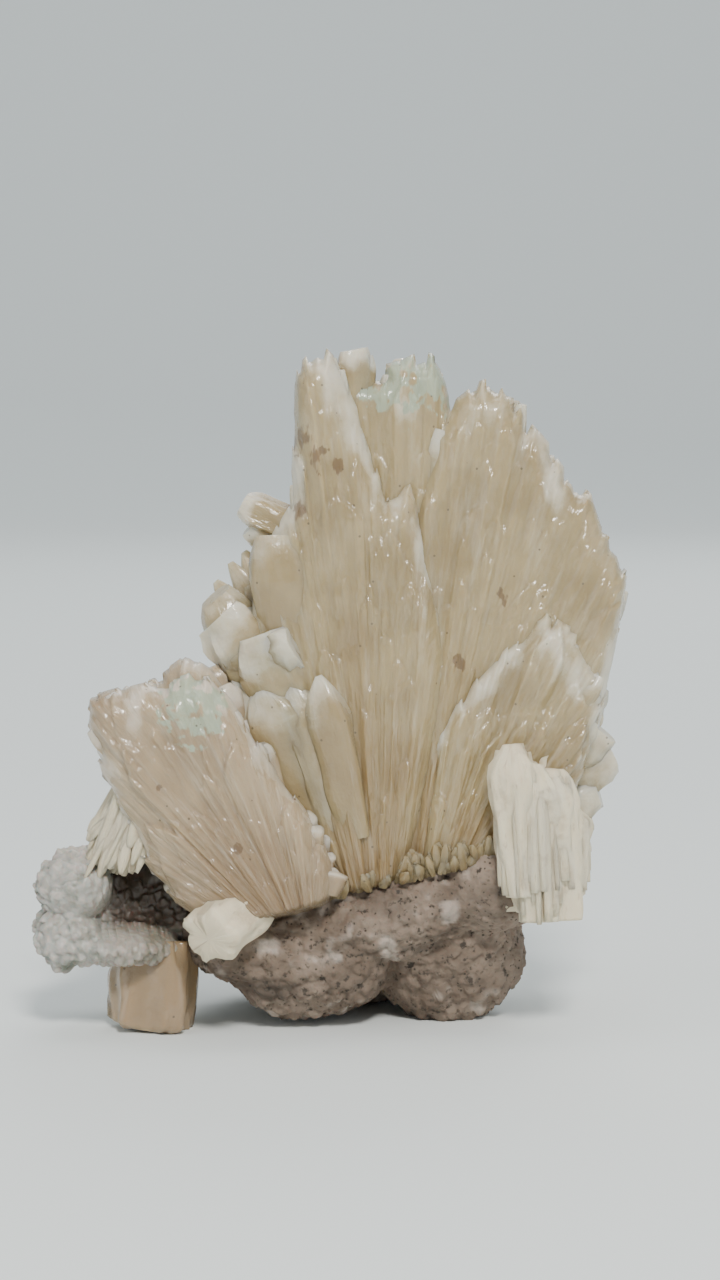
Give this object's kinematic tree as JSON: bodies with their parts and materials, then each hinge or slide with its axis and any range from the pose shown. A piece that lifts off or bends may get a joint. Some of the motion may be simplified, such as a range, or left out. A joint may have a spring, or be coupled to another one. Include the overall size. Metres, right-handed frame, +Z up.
{
  "type": "sheaf-like crystal fan mineral specimen",
  "caption": "Hand-size mineral specimen: translucent cream bladed crystals fan out in sheaves from a wedge of grey-pink host rock, with a chalky crystal bundle, blunt stubs and a drusy crust.",
  "frame": {"origin": "middle of the bounding box in plan, on the surface that the specimen stands on", "axes": "+Z up, +X to the viewer's right, -Y towards the viewer who looks at the open face of the fan"},
  "size_m": [0.0782, 0.0417, 0.0904],
  "materials": {
    "host_rock": "rough granular grey-pink rock with dark specks",
    "cream_crystal": "pearly, translucent, finely ribbed along each crystal",
    "rose_crystal": "pearly, milky pink-beige, finely ribbed",
    "chalky_crystal": "matt chalky white with fine lengthwise fibres",
    "drusy_crust": "sugary grey-green white crust"
  },
  "bodies": {
    "root": {"matrix": "host_rock", "main_fan": "cream_crystal", "left_fan": "rose_crystal", "chalk_column": "chalky_crystal", "front_stub": "chalky_crystal", "lower_stub": "rose_crystal", "left_crust": "drusy_crust"}
  },
  "joints": []
}
